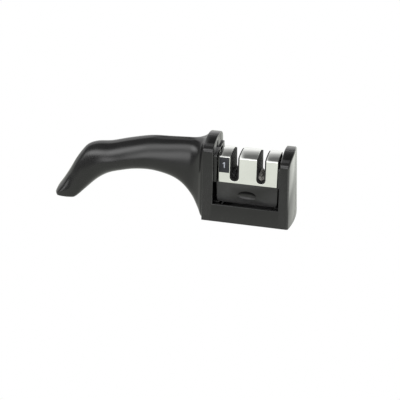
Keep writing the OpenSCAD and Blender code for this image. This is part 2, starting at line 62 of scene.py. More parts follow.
HANDLE_L = OVERALL_L - HEAD_L - END_BULGE
HEAD_X = OVERALL_L / 2 - END_BULGE - HEAD_L
HALF_D = BASE_D / 2
RIGHT_CROWN = CROWN_H - WALL_STEP
WELL_X0, WELL_X1 = LEFT_WALL, HEAD_L - RIGHT_WALL
CART_X = HEAD_X + (WELL_X0 + WELL_X1) / 2
CART_W = WELL_X1 - WELL_X0 - 2 * (COLUMN_W + SIDE_GAP)
CAP_W = CART_W - 2 * CAP_INSET
LABEL_W = (CAP_W - SLOT_PITCH - SLOT_W) / 2 - 2 * LABEL_EDGE
BLOCK_TOP = CART_Z + BLOCK_H
COLUMN_Z = BLOCK_TOP + COLUMN_LIFT
SLOT_Z = BLOCK_TOP + SLOT_LIFT + SLOT_W / 2
SHAFT_Z = BLOCK_TOP + SHAFT_LIFT
COVER_TOP = PAD_T + COVER_T
END_R = (HALF_D ** 2 + END_BULGE ** 2) / (2 * END_BULGE)

# Sizes of the scene alone, in millimetres: overlap of cutters, half width of each seam, bend of the cap
CUT = 1.2
FAR = 200.0
HOUSING_SEAM, CARRIER_SEAM = 0.04, 0.02
CAP_BEND = 1.0
NUMBER_H, NUMBER_W = 5.4, 0.95

BOX_FACES = [(0, 1, 3, 2), (4, 6, 7, 5), (0, 4, 5, 1), (2, 3, 7, 6), (0, 2, 6, 4), (1, 5, 7, 3)]

# Handle stations, as in the model: top X, Z, bottom X, Z, half width, flare, squareness
STATIONS = [
    (-1.000, 0.056, -0.998, 0.018, 0.53, 0, 0.55),
    (-0.984, 0.112, -0.975, 0.000, 0.91, 0, 0.80),
    (-0.946, 0.217, -0.920, 0.000, 1.05, 0, 0.90),
    (-0.904, 0.346, -0.865, 0.002, 1.06, 0, 0.60),
    (-0.859, 0.496, -0.800, 0.108, 1.05, 0, 0.18),
    (-0.813, 0.622, -0.732, 0.234, 1.05, 0, 0.04),
    (-0.772, 0.704, -0.678, 0.314, 1.03, 0, 0),
    (-0.712, 0.752, -0.623, 0.372, 1.01, 0, 0),
    (-0.619, 0.778, -0.551, 0.418, 1.00, 0, 0),
    (-0.496, 0.845, -0.455, 0.460, 1.00, 0, 0),
    (-0.358, 0.905, -0.344, 0.468, 1.00, 0, 0),
    (-0.234, 0.920, -0.231, 0.420, 1.00, 0, 0),
    (-0.138, 0.931, -0.150, 0.335, 1.01, 0.03, 0.06),
    (-0.072, 0.938, -0.084, 0.212, 1.02, 0.17, 0.30),
    (-0.028, 0.956, -0.038, 0.090, 1.02, 0.54, 0.70),
    (-0.008, 0.970, -0.012, 0.014, 1.02, 0.86, 1),
    (0.008, 0.985, 0.008, 0.000, 1.02, 0.98, 1),
]


def face_y(z):
    return HALF_D - z * math.tan(FACE_LEAN)


def cart_y(z):
    return CART_D / 2 - (z - CART_Z) * math.tan(FACE_LEAN)


def x_end(y, z):
    """X of the bulged and leaning right end of the head."""
    bulge = END_BULGE - END_R + math.sqrt(END_R ** 2 - y * y)
    return HEAD_L + bulge / math.cos(END_DRAFT) - z * math.tan(END_DRAFT)


# ---------------------------------------------------------------- mesh helpers


def make(name, verts, faces, shift=0.0):
    """Mesh object from points in millimetres, moved along X by shift."""
    mesh = bpy.data.meshes.new(name)
    mesh.from_pydata([((x + shift) * MM, y * MM, z * MM) for x, y, z in verts], [], faces)
    bm = bmesh.new()
    bm.from_mesh(mesh)
    bmesh.ops.remove_doubles(bm, verts=bm.verts, dist=1e-7)
    bmesh.ops.recalc_face_normals(bm, faces=bm.faces)
    bm.to_mesh(mesh)
    bm.free()
    obj = bpy.data.objects.new(name, mesh)
    bpy.context.scene.collection.objects.link(obj)
    return obj


def loft(name, rings, shift=0.0, cap_end=True, extra=None):
    """Closed skin over rings that have the same number of points."""
    n = len(rings[0])
    verts = [p for ring in rings for p in ring]
    faces = []
    for r in range(len(rings) - 1):
        for k in range(n):
            a, b = r * n + k, r * n + (k + 1) % n
            faces.append((a, b, b + n, a + n))
    faces.append(tuple(range(n - 1, -1, -1)))
    if cap_end:
        faces.append(tuple((len(rings) - 1) * n + k for k in range(n)))
    if extra:
        more_verts, more_faces = extra(len(verts))
        verts += more_verts
        faces += more_faces
    return make(name, verts, faces, shift)


def apply_modifiers(obj):
    graph = bpy.context.evaluated_depsgraph_get()
    mesh = bpy.data.meshes.new_from_object(obj.evaluated_get(graph))
    obj.modifiers.clear()
    old = obj.data
    obj.data = mesh
    bpy.data.meshes.remove(old)


def boolean(obj, tool, operation):
    mod = obj.modifiers.new("cut", "BOOLEAN")
    mod.operation = operation
    mod.solver = "EXACT"
    mod.object = tool
    apply_modifiers(obj)
    bpy.data.objects.remove(tool)


def union(obj, tools):
    for tool in tools:
        boolean(obj, tool, "UNION")


def subtract(obj, tools):
    for tool in tools:
        boolean(obj, tool, "DIFFERENCE")


def tidy(obj, flat=0.5):
    """Merges doubles and flat neighbours left by the cuts."""
    bm = bmesh.new()
    bm.from_mesh(obj.data)
    bmesh.ops.remove_doubles(bm, verts=bm.verts, dist=2e-6)
    bmesh.ops.dissolve_limit(
        bm, angle_limit=math.radians(flat), use_dissolve_boundaries=False, verts=bm.verts, edges=bm.edges
    )
    bmesh.ops.recalc_face_normals(bm, faces=bm.faces)
    bm.to_mesh(obj.data)
    bm.free()


def round_edges(obj, width, angle=40, segments=2):
    mod = obj.modifiers.new("edges", "BEVEL")
    mod.width = width * MM
    mod.segments = segments
    mod.limit_method = "ANGLE"
    mod.angle_limit = math.radians(angle)
    mod.harden_normals = False
    mod.miter_outer = "MITER_ARC"
    apply_modifiers(obj)


def smooth(obj, angle):
    """Smooth shading with creases above an angle, kept in the mesh."""
    mesh = obj.data
    for poly in mesh.polygons:
        poly.use_smooth = True
    bm = bmesh.new()
    bm.from_mesh(mesh)
    limit = math.radians(angle)
    for edge in bm.edges:
        edge.smooth = not (len(edge.link_faces) == 2 and edge.calc_face_angle(0) > limit)
    bm.to_mesh(mesh)
    bm.free()


def block(name, x0, x1, y0, y1, z0, z1, edge=0.0, shift=0.0):
    """Rectangular bar with rounded edges."""
    verts = [(x, y, z) for x in (x0, x1) for y in (y0, y1) for z in (z0, z1)]
    obj = make(name, verts, BOX_FACES, shift)
    if edge:
        round_edges(obj, edge)
    return obj


def rod(name, place, d, y0, y1, shift, points=48):
    """Round bar along Y."""
    turn = [2 * math.pi * k / points for k in range(points)]
    rings = [[(place[0] + d / 2 * math.cos(a), y, place[1] + d / 2 * math.sin(a)) for a in turn] for y in (y0, y1)]
    return loft(name, rings, shift)


def post(name, x, y, d, z0, z1, shift):
    """Round bar along Z."""
    points = 32
    turn = [2 * math.pi * k / points for k in range(points)]
    rings = [[(x + d / 2 * math.cos(a), y + d / 2 * math.sin(a), z) for a in turn] for z in (z0, z1)]
    return loft(name, rings, shift)


# ---------------------------------------------------------------- housing


def station_at(u):
    """Values between two stations, on a smooth curve through all of them."""
    i = min(int(u), len(STATIONS) - 2)
    t = u - i
    a, b, c, d = (STATIONS[max(0, min(len(STATIONS) - 1, i + k))] for k in (-1, 0, 1, 2))
    return [
        (2 * q + (r - p) * t + (2 * p - 5 * q + 4 * r - s) * t * t + (3 * q - p - 3 * r + s) * t ** 3) / 2
        for p, q, r, s in zip(a, b, c, d)
    ]


def power(v, e):
    return math.copysign(abs(v) ** e, v)


def blend(a, b, t):
    return a + (b - a) * t


def handle_ring(u, points):
    """Closed section of the handle at a station number."""
    s = station_at(u)
    top = (s[0] * HANDLE_L, s[1] * CROWN_H)
    low = (s[2] * HANDLE_L, max(0.0, s[3]) * CROWN_H)
    height = math.dist(top, low)
    up = ((top[0] - low[0]) / height, (top[1] - low[1]) / height)
    flare, square = max(0.0, s[5]), max(0.0, s[6])
    belly = blend(BELLY, 0.5, flare)
    mid = (blend(low[0], top[0], belly), blend(low[1], top[1], belly))
    wide = GRIP_W / 2 * s[4] * (1 - flare) + HALF_D * flare
    ring = []
    for k in range(points):
        a = math.pi / 2 - 2 * math.pi * k / points
        upper = math.sin(a) > 0
        e = 2 / (GRIP_ROUND + (flare if upper else ROOT_SQUARE * square))
        rise_e = blend(FLANK_LEAN, e, flare) if upper else e
        side_e = blend(1, e, flare) if upper else e
        v = height * (1 - belly if upper else belly) * power(math.sin(a), rise_e)
        z = mid[1] + up[1] * v
        y = wide * power(math.cos(a), side_e) * (1 - flare * z * math.tan(FACE_LEAN) / HALF_D)
        ring.append((mid[0] + up[0] * v, y, z))
    return ring


def handle_solid():
    per_station, points = 6, 80
    count = (len(STATIONS) - 1) * per_station
    return loft("handle", [handle_ring(r / per_station, points) for r in range(count + 1)], HEAD_X)


def wall_profile(crown, inset, z0):
    """One side of a wall from its foot to its crest, as pairs of Y and Z."""
    knee = (face_y(crown - SHOULDER_DROP), crown - SHOULDER_DROP)
    r = (knee[0] ** 2 + SHOULDER_DROP ** 2) / (2 * SHOULDER_DROP)
    low = (face_y(knee[1] - SHOULDER_SOFT), knee[1] - SHOULDER_SOFT)
    reach = knee[0] - SHOULDER_SOFT
    high = (reach, crown - r + math.sqrt(r * r - reach * reach))
    steps = 18
    side = [(face_y(z0) - inset, z0)]
    for k in range(steps + 1):
        t = k / steps
        a = [low[i] + (knee[i] - low[i]) * t for i in (0, 1)]
        b = [knee[i] + (high[i] - knee[i]) * t for i in (0, 1)]
        side.append((a[0] + (b[0] - a[0]) * t - inset, a[1] + (b[1] - a[1]) * t - inset))
    for k in range(1, steps):
        y = reach * (1 - k / steps)
        side.append((y * (1 - inset / reach), crown - inset - r + math.sqrt(r * r - y * y)))
    return side


def wall_ring(crown, inset, z0, x_at):
    side = wall_profile(crown, inset, z0)
    points = side + [(0.0, crown - inset)] + [(-y, z) for y, z in reversed(side)]
    return [(x_at(y, z), y, z) for y, z in points]


def rounding(r, steps=4):
    """Pairs of inset and distance from the end, from the end face inwards."""
    turns = [math.pi / 2 * k / steps for k in range(steps + 1)]
    return [(r * (1 - math.sin(a)), r * (1 - math.cos(a))) for a in turns]


def left_wall():
    edge = rounding(0.8)
    z0 = PAD_PROUD
    rings = [wall_ring(CROWN_H, i, z0, lambda y, z, d=d: d) for i, d in edge]
    rings += [wall_ring(CROWN_H, i, z0, lambda y, z, d=d: LEFT_WALL - d) for i, d in reversed(edge)]
    return loft("left_wall", rings, HEAD_X)


def right_wall():
    inner, outer = rounding(0.8), rounding(1.4, 6)
    z0 = PAD_PROUD
    rings = [wall_ring(RIGHT_CROWN, i, z0, lambda y, z, d=d: WELL_X1 + d) for i, d in inner]
    rings += [wall_ring(RIGHT_CROWN, i, z0, lambda y, z, d=d: x_end(y, z) - d) for i, d in reversed(outer)]
    last = (len(rings) - 1) * len(rings[0])
    ring = rings[-1]
    half = len(ring) // 2
    columns = 12

    def end_face(start):
        """Bulged face between the two sides of the last ring."""
        verts, faces, rows = [], [], []
        for k in range(half):
            y, z = ring[k][1], ring[k][2]
            row = [last + k]
            for c in range(1, columns):
                yc = y * (1 - 2 * c / columns)
                row.append(start + len(verts))
                verts.append((x_end(yc, z), yc, z))
            rows.append(row + [last + len(ring) - 1 - k])
        for lower, upper in zip(rows, rows[1:]):
            for c in range(columns):
                faces.append((lower[c], lower[c + 1], upper[c + 1], upper[c]))
        for c in range(columns):
            faces.append((rows[-1][c], rows[-1][c + 1], last + half))
        return verts, faces

    body = loft("right_wall", rings, HEAD_X, cap_end=False, extra=end_face)
    bm = bmesh.new()
    bm.from_mesh(body.data)
    bmesh.ops.holes_fill(bm, edges=[e for e in bm.edges if e.is_boundary], sides=0)
    bmesh.ops.recalc_face_normals(bm, faces=bm.faces)
    bm.to_mesh(body.data)
    bm.free()
    return body


def foot_wall(side):
    """Low wall along the front or the rear of the trough."""
    soft = 0.5
    z1 = RIM_H
    outer, inner = face_y(z1), face_y(z1) - SHELL_T
    turns = [math.pi / 2 * k / 4 for k in range(5)]
    profile = [(face_y(PAD_PROUD), PAD_PROUD)]
    profile += [(outer - soft + soft * math.cos(a), z1 - soft + soft * math.sin(a)) for a in turns]
    profile += [(inner + soft - soft * math.sin(a), z1 - soft + soft * math.cos(a)) for a in turns]
    profile += [(face_y(PAD_PROUD) - SHELL_T, PAD_PROUD)]
    rings = [[(x, side * y, z) for y, z in profile] for x in (LEFT_WALL / 2, HEAD_L - RIGHT_WALL / 2)]
    return loft("foot_wall", rings, HEAD_X)


def mouth_cutter():
    """Room for the bottom cover and the pad."""
    rings = []
    for z in (-CUT, COVER_TOP):
        y1 = face_y(z) - SHELL_T
        steps = 16
        ys = [-y1 + 2 * y1 * k / steps for k in range(steps + 1)]
        rings.append([(SHELL_T, y1, z), (SHELL_T, -y1, z)] + [(x_end(y, z) - SHELL_T, y, z) for y in ys])
    return loft("mouth", rings, HEAD_X)


def screw_places():
    along = [(s * HANDLE_L, z * CROWN_H) for s, z in ((-0.865, 0.19), (-0.42, 0.61))]
    along.append(((SHELL_T - BOSS_D) / 2, 0.46 * CROWN_H))
    inward = BOSS_D / 2 + COLUMN_W / 2
    z = COVER_TOP + BOSS_D / 2 + 0.2
    return along + [(WELL_X0 + inward, z), (WELL_X1 - inward, z)]


def column(x0, x1, z1):
    """Guide column with a soft top on the narrower rib below it."""
    half = COLUMN_D / 2
    turns = [math.pi / 2 * k / 6 for k in range(7)]
    side = [(half - COLUMN_R * (1 - math.cos(a)), z1 - COLUMN_R * (1 - math.sin(a))) for a in turns]
    side = [(half, COLUMN_Z)] + side
    outline = side + [(-y, z) for y, z in reversed(side)]
    return [
        loft("column", [[(x, y, z) for y, z in outline] for x in (x0, x1)], HEAD_X),
        block("rib", x0, x1, -RIB_D / 2, RIB_D / 2, CART_Z - LEDGE_H, COLUMN_Z + CUT, 0, HEAD_X),
    ]


def housing_solid():
    body = left_wall()
    foot_d = BOSS_D * 3 / 4
    post_y = HALF_D - SHELL_T - foot_d / 2
    tools = [handle_solid(), right_wall(), foot_wall(1), foot_wall(-1)]
    depth = COLUMN_D / 2
    tools += column(WELL_X0 - CUT, WELL_X0 + COLUMN_W, CROWN_H - COLUMN_DROP)
    tools += column(WELL_X1 - COLUMN_W, WELL_X1 + CUT, RIGHT_CROWN - COLUMN_DROP)
    for x0, x1 in (
        (WELL_X0 - CUT, WELL_X0 + COLUMN_W + LEDGE_W),
        (WELL_X1 - COLUMN_W - LEDGE_W, WELL_X1 + CUT),
    ):
        tools.append(block("ledge", x0, x1, -depth + 0.1, depth - 0.1, CART_Z - LEDGE_H - 0.1, CART_Z, 0.25, HEAD_X))
    for place in screw_places()[3:]:
        reach = face_y(place[1] + BOSS_D / 2) - SHELL_T / 2
        tools.append(rod("boss", place, BOSS_D, -reach, reach, HEAD_X))
    for x in (WELL_X0 + 2 * BOSS_D, WELL_X1 - 2 * BOSS_D):
        for y in (-post_y, post_y):
            tools.append(post("post", x, y, foot_d, COVER_TOP, RIM_H - LEDGE_H, HEAD_X))
    union(body, tools)
    subtract(body, [mouth_cutter()])
    return body


def keep_side(obj, side, seam):
    """Keeps what lies behind (1) or in front of (-1) the seam."""
    y0, y1 = (seam, FAR) if side > 0 else (-FAR, -seam)
    boolean(obj, block("side", -FAR, FAR, y0, y1, -FAR, FAR), "INTERSECT")


def housing():
    """Front and rear moulding, split along the seam."""
    whole = housing_solid()
    tidy(whole, 0.05)
    pair = []
    for name, side in (("housing_front", -1), ("housing_rear", 1)):
        half = whole.copy()
        half.data = whole.data.copy()
        half.name = name
        bpy.context.scene.collection.objects.link(half)
        keep_side(half, side, HOUSING_SEAM)
        if side > 0:
            head = SCREW_HEAD + 4 * SCREW_GAP
            subtract(half, [
                rod("counterbore", p, head, SEAT_Y, HALF_D + CUT, HEAD_X) for p in screw_places()
            ])
        tidy(half, 0.05)
        round_edges(half, 0.12, 50, 2)
        smooth(half, 32)
        pair.append(half)
    bpy.data.objects.remove(whole)
    return pair


# ---------------------------------------------------------------- cartridge


def slot_cutter(x, w, z_top):
    steps = 24
    turns = [math.pi + math.pi * k / steps for k in range(steps + 1)]
    outline = [(x - w / 2, z_top)]
    outline += [(x + w / 2 * math.cos(a), SLOT_Z + w / 2 * math.sin(a)) for a in turns]
    outline += [(x + w / 2, z_top)]
    rings = [[(px, y, pz) for px, pz in outline] for y in (-CART_D, CART_D)]
    return loft("slot", rings, CART_X)


def cap_profile(inset, z0):
    """One side of the cap from its foot over the bend to the crest."""
    w = cart_y(BEND_Z)
    r = (w * w + TOP_RISE ** 2) / (2 * TOP_RISE)
    arc = lambda y: BEND_Z + TOP_RISE - r + math.sqrt(r * r - y * y)
    low = (cart_y(BEND_Z - CAP_BEND) - inset, BEND_Z - CAP_BEND)
    knee = (w - inset, BEND_Z - inset)
    high = (w - CAP_BEND, arc(w - CAP_BEND) - inset)
    steps = 8
    side = [(cart_y(z0) - inset, z0)]
    for k in range(steps + 1):
        t = k / steps
        a = [low[i] + (knee[i] - low[i]) * t for i in (0, 1)]
        b = [knee[i] + (high[i] - knee[i]) * t for i in (0, 1)]
        side.append((a[0] + (b[0] - a[0]) * t, a[1] + (b[1] - a[1]) * t))
    reach = w - CAP_BEND
    for k in range(1, 16):
        y = reach * (1 - k / 16)
        side.append((y, arc(y) - inset))
    return side


def cap_ring(inset, z0, x):
    side = cap_profile(inset, z0)
    points = side + [(0.0, BEND_Z + TOP_RISE - inset)] + [(-y, z) for y, z in reversed(side)]
    return [(x, y, z) for y, z in points]


def cap_solid(name, inset, z0, half):
    return loft(name, [cap_ring(inset, z0, x) for x in (-half, half)], CART_X)


def steel_cap():
    half = CAP_W / 2
    obj = cap_solid("steel_cap", 0, BLOCK_TOP + SKIN_GAP, half)
    cuts = [cap_solid("core", SHEET_T, BLOCK_TOP - CUT, half + CUT)]
    cuts += [slot_cutter(x, SLOT_W, BEND_Z * 2) for x in (-SLOT_PITCH / 2, SLOT_PITCH / 2)]
    subtract(obj, cuts)
    tidy(obj, 0.05)
    round_edges(obj, 0.16, 45, 3)
    smooth(obj, 30)
    return obj


def block_solid():
    """Lower block with soft lower corners and leaning faces."""
    half, steps = CART_W / 2, 8
    corner = [
        (half - BLOCK_R + BLOCK_R * math.sin(a), CART_Z + BLOCK_R - BLOCK_R * math.cos(a))
        for a in (math.pi / 2 * k / steps for k in range(steps + 1))
    ]
    outline = corner + [(half, BLOCK_TOP), (-half, BLOCK_TOP)] + [(-x, z) for x, z in reversed(corner)]
    rings = [[(x, side * cart_y(z), z) for x, z in outline] for side in (-1, 1)]
    return loft("block", rings, CART_X)


def thumb_scoop(side):
    """Shallow dish that the thumb finds."""
    z = CART_Z + BLOCK_H * THUMB_SHARE
    y = side * cart_y(z)
    bm = bmesh.new()
    bmesh.ops.create_uvsphere(bm, u_segments=64, v_segments=32, radius=1)
    depth = THUMB_DEEP * 2.2
    rise = depth - THUMB_DEEP
    grow = 1 / math.sqrt(1 - (rise / depth) ** 2)
    size = Matrix.Diagonal((THUMB_W / 2 * grow * MM, depth * MM, THUMB_H / 2 * grow * MM, 1))
    lean = Matrix.Rotation(-side * FACE_LEAN, 4, "X")
    place = Matrix.Translation((CART_X * MM, (y + side * rise) * MM, z * MM))
    bmesh.ops.transform(bm, matrix=place @ lean @ size, verts=bm.verts)
    mesh = bpy.data.meshes.new("scoop")
    bm.to_mesh(mesh)
    bm.free()
    obj = bpy.data.objects.new("scoop", mesh)
    bpy.context.scene.collection.objects.link(obj)
    return obj


def cartridge_halves():
    """Front and rear half of the wheel carrier, with even shading round the scoops."""
    half = CAP_W / 2
    whole = block_solid()
    core_in = SHEET_T + SKIN_GAP
    union(whole, [cap_solid("core", core_in, BLOCK_TOP - CUT, half - 0.02)])
    shafts = [x + e * SHAFT_GAP / 2 for x in (-SLOT_PITCH / 2, SLOT_PITCH / 2) for e in (-1, 1)]
    cuts = [slot_cutter(x, SLOT_W - 2 * SLOT_RIM, BEND_Z * 2) for x in (-SLOT_PITCH / 2, SLOT_PITCH / 2)]
    chamber = DISC_D + 2 * DISC_GAP
    cuts += [rod("chamber", (x, SHAFT_Z), chamber, -CHAMBER_Y, CHAMBER_Y, CART_X, 64) for x in shafts]
    cuts += [thumb_scoop(side) for side in (-1, 1)]
    subtract(whole, cuts)
    tidy(whole, 0.05)
    pair = []
    low = CART_Z + BLOCK_H * 2 / 5
    for name, side in (("carrier_front", -1), ("carrier_rear", 1)):
        part = whole.copy()
        part.data = whole.data.copy()
        part.name = name
        bpy.context.scene.collection.objects.link(part)
        keep_side(part, side, CARRIER_SEAM)
        if side > 0:
            out, head = SLOT_PITCH * 3 / 4, CARRIER_HEAD + 4 * SCREW_GAP
            subtract(part, [rod("counterbore", (x, low), head, SEAT_Y, CART_D, CART_X) for x in (-out, out)])
        tidy(part, 0.05)
        round_edges(part, 0.25, 50, 3)
        smooth(part, 32)
        even = part.modifiers.new("even", "WEIGHTED_NORMAL")
        even.weight, even.keep_sharp = 90, True
        pair.append(part)
    bpy.data.objects.remove(whole)
    return pair


def label_plate():
    """Thin plate on the front of the cap."""
    z1 = BEND_Z - LABEL_T * 2
    z0 = z1 - LABEL_H
    x0 = -CAP_W / 2 + LABEL_EDGE
    x1 = x0 + LABEL_W
    verts = [(x, -cart_y(z) - t, z) for x in (x0, x1) for z in (z0, z1) for t in (-0.02, LABEL_T)]
    plate = make("label_plate", verts, BOX_FACES, CART_X)
    round_edges(plate, 0.1, 40, 2)
    smooth(plate, 30)
    return plate


def label_number():
    """Plain raised 1 on the label."""
    z_mid = BEND_Z - LABEL_T * 2 - LABEL_H / 2
    x_mid = -CAP_W / 2 + LABEL_EDGE + LABEL_W / 2
    h, w = NUMBER_H, NUMBER_W
    outline = [
        (-w / 2 + 0.15, -h / 2), (w / 2 + 0.15, -h / 2), (w / 2 + 0.15, h / 2), (-w / 2 + 0.25, h / 2),
        (-1.55, h / 2 - 1.25), (-1.2, h / 2 - 1.95), (-w / 2 + 0.15, h / 2 - 1.35),
    ]
    verts = []
    for t in (LABEL_T - 0.02, LABEL_T + 0.06):
        for x, z in outline:
            zz = z_mid + z
            verts.append((x_mid + x, -cart_y(zz) - t, zz))
    n = len(outline)
    faces = [tuple(range(n)), tuple(range(2 * n - 1, n - 1, -1))]
    faces += [(k, (k + 1) % n, n + (k + 1) % n, n + k) for k in range(n)]
    return make("label_number", verts, faces, CART_X)


# ---------------------------------------------------------------- materials


def material(name):
    mat = bpy.data.materials.new(name)
    mat.use_nodes = True
    nodes, links = mat.node_tree.nodes, mat.node_tree.links
    bsdf = nodes["Principled BSDF"]
    return mat, nodes, links, bsdf


def add(nodes, kind, **values):
    node = nodes.new(kind)
    for key, value in values.items():
        if key in node.inputs:
            node.inputs[key].default_value = value
        else:
            setattr(node, key, value)
    return node


def ramp(nodes, stops):
    node = nodes.new("ShaderNodeValToRGB")
    elements = node.color_ramp.elements
    elements[0].position, elements[-1].position = stops[0][0], stops[-1][0]
    elements[0].color, elements[-1].color = (*stops[0][1], 1), (*stops[-1][1], 1)
    for place, colour in stops[1:-1]:
        elements.new(place).color = (*colour, 1)
    return node


def noise(nodes, links, scale, detail, stretch=None):
    """Noise in object space, in metres, with an optional stretch."""
    coord = nodes.new("ShaderNodeTexCoord")
    node = add(nodes, "ShaderNodeTexNoise", Scale=scale, Detail=detail)
    if stretch:
        mapping = nodes.new("ShaderNodeMapping")
        mapping.inputs["Scale"].default_value = stretch
        links.new(coord.outputs["Object"], mapping.inputs["Vector"])
        links.new(mapping.outputs["Vector"], node.inputs["Vector"])
    else:
        links.new(coord.outputs["Object"], node.inputs["Vector"])
    return node


def vary(nodes, links, source, low, high, target):
    """Maps a noise to a range and feeds a socket."""
    node = add(nodes, "ShaderNodeMapRange")
    node.inputs["From Min"].default_value = 0.3
    node.inputs["From Max"].default_value = 0.7
    node.inputs["To Min"].default_value = low
    node.inputs["To Max"].default_value = high
    links.new(source, node.inputs["Value"])
    links.new(node.outputs["Result"], target)
    return node


def tint(nodes, links, source, dark, light, target):
    node = ramp(nodes, [(0.35, dark), (0.65, light)])
    links.new(source, node.inputs["Fac"])
    links.new(node.outputs["Color"], target)
    return node


def bump(nodes, links, source, strength, distance, target):
    node = add(nodes, "ShaderNodeBump", Strength=strength, Distance=distance)
    links.new(source, node.inputs["Height"])
    links.new(node.outputs["Normal"], target)
    return node


def plastic(name, dark, light, rough, grain, grain_depth, wear=0.0):
    mat, nodes, links, bsdf = material(name)
    broad = noise(nodes, links, 45, 3)
    fine = noise(nodes, links, grain, 2)
    colour = ramp(nodes, [(0.3, dark), (0.7, light)])
    links.new(broad.outputs["Fac"], colour.inputs["Fac"])
    if wear:
        geo = nodes.new("ShaderNodeNewGeometry")
        edge = ramp(nodes, [(0.52, (0, 0, 0)), (0.60, (1, 1, 1))])
        links.new(geo.outputs["Pointiness"], edge.inputs["Fac"])
        scratch = noise(nodes, links, 900, 3)
        amount = add(nodes, "ShaderNodeMath", operation="MULTIPLY")
        links.new(edge.outputs["Color"], amount.inputs[0])
        links.new(scratch.outputs["Fac"], amount.inputs[1])
        scaled = add(nodes, "ShaderNodeMath", operation="MULTIPLY")
        scaled.inputs[1].default_value = wear
        links.new(amount.outputs[0], scaled.inputs[0])
        mix = add(nodes, "ShaderNodeMix", data_type="RGBA")
        mix.inputs[7].default_value = (0.12, 0.12, 0.12, 1)
        links.new(scaled.outputs[0], mix.inputs[0])
        links.new(colour.outputs["Color"], mix.inputs[6])
        links.new(mix.outputs[2], bsdf.inputs["Base Color"])
    else:
        links.new(colour.outputs["Color"], bsdf.inputs["Base Color"])
    vary(nodes, links, broad.outputs["Fac"], rough[0], rough[1], bsdf.inputs["Roughness"])
    bump(nodes, links, fine.outputs["Fac"], 0.25, grain_depth, bsdf.inputs["Normal"])
    bsdf.inputs["IOR"].default_value = 1.48
    return mat


# Painted shade above the block top: roughness there, width of the blend band, and shine below and above it
SHADE_ROUGH, SHADE_BAND = 0.62, 0.5
OPEN_SPECULAR, SHADE_SPECULAR = 0.5, 0.15


def shade_above(mat, height):
    """Painted shade: less shine and more roughness above a height, so the plastic in and round the slots reads dark.
    """
    nodes, links = mat.node_tree.nodes, mat.node_tree.links
    bsdf = nodes["Principled BSDF"]
    coord, split = nodes.new("ShaderNodeTexCoord"), nodes.new("ShaderNodeSeparateXYZ")
    links.new(coord.outputs["Object"], split.inputs[0])
    share = add(nodes, "ShaderNodeMapRange")
    share.inputs["From Min"].default_value = height * MM
    share.inputs["From Max"].default_value = (height + SHADE_BAND) * MM
    links.new(split.outputs["Z"], share.inputs["Value"])
    share = share.outputs["Result"]
    own_rough = bsdf.inputs["Roughness"].links[0].from_socket
    rough = add(nodes, "ShaderNodeMix", data_type="FLOAT")
    rough.inputs[3].default_value = SHADE_ROUGH
    links.new(share, rough.inputs[0])
    links.new(own_rough, rough.inputs[2])
    links.new(rough.outputs[0], bsdf.inputs["Roughness"])
    # Painted shade: the shine drops above the height
    sheen = add(nodes, "ShaderNodeMapRange")
    sheen.inputs["To Min"].default_value = OPEN_SPECULAR
    sheen.inputs["To Max"].default_value = SHADE_SPECULAR
    links.new(share, sheen.inputs["Value"])
    links.new(sheen.outputs["Result"], bsdf.inputs["Specular IOR Level"])


def metal(name, dark, light, rough, stretch, scale, depth=0.00002, strength=0.15):
    mat, nodes, links, bsdf = material(name)
    lines = noise(nodes, links, scale, 4, stretch)
    broad = noise(nodes, links, 60, 3)
    tint(nodes, links, broad.outputs["Fac"], dark, light, bsdf.inputs["Base Color"])
    vary(nodes, links, lines.outputs["Fac"], rough[0], rough[1], bsdf.inputs["Roughness"])
    bump(nodes, links, lines.outputs["Fac"], strength, depth, bsdf.inputs["Normal"])
    bsdf.inputs["Metallic"].default_value = 1.0
    return mat


def grit(name, dark, light, rough, size, depth, metallic=0.0):
    """Bonded grains: speckled colour and a rough surface."""
    mat, nodes, links, bsdf = material(name)
    coord = nodes.new("ShaderNodeTexCoord")
    cells = add(nodes, "ShaderNodeTexVoronoi", Scale=size)
    links.new(coord.outputs["Object"], cells.inputs["Vector"])
    broad = noise(nodes, links, 300, 4)
    colour = ramp(nodes, [(0.2, dark), (0.8, light)])
    links.new(cells.outputs["Color"], colour.inputs["Fac"])
    links.new(colour.outputs["Color"], bsdf.inputs["Base Color"])
    vary(nodes, links, broad.outputs["Fac"], rough[0], rough[1], bsdf.inputs["Roughness"])
    bump(nodes, links, cells.outputs["Distance"], 0.5, depth, bsdf.inputs["Normal"])
    bsdf.inputs["Metallic"].default_value = metallic
    return mat


def dress(obj, mat):
    obj.data.materials.clear()
    obj.data.materials.append(mat)


def soften(obj, width):
    """Fine chamfer on a carried-over node."""
    weld = obj.modifiers.new("weld", "WELD")
    weld.merge_threshold = 2e-6
    flat = obj.modifiers.new("flat", "DECIMATE")
    flat.decimate_type = "DISSOLVE"
    flat.angle_limit = math.radians(1)
    bevel = obj.modifiers.new("edges", "BEVEL")
    bevel.width = width * MM
    bevel.segments = 2
    bevel.limit_method = "ANGLE"
    bevel.angle_limit = math.radians(35)


def grey(value):
    return (value, value, value)


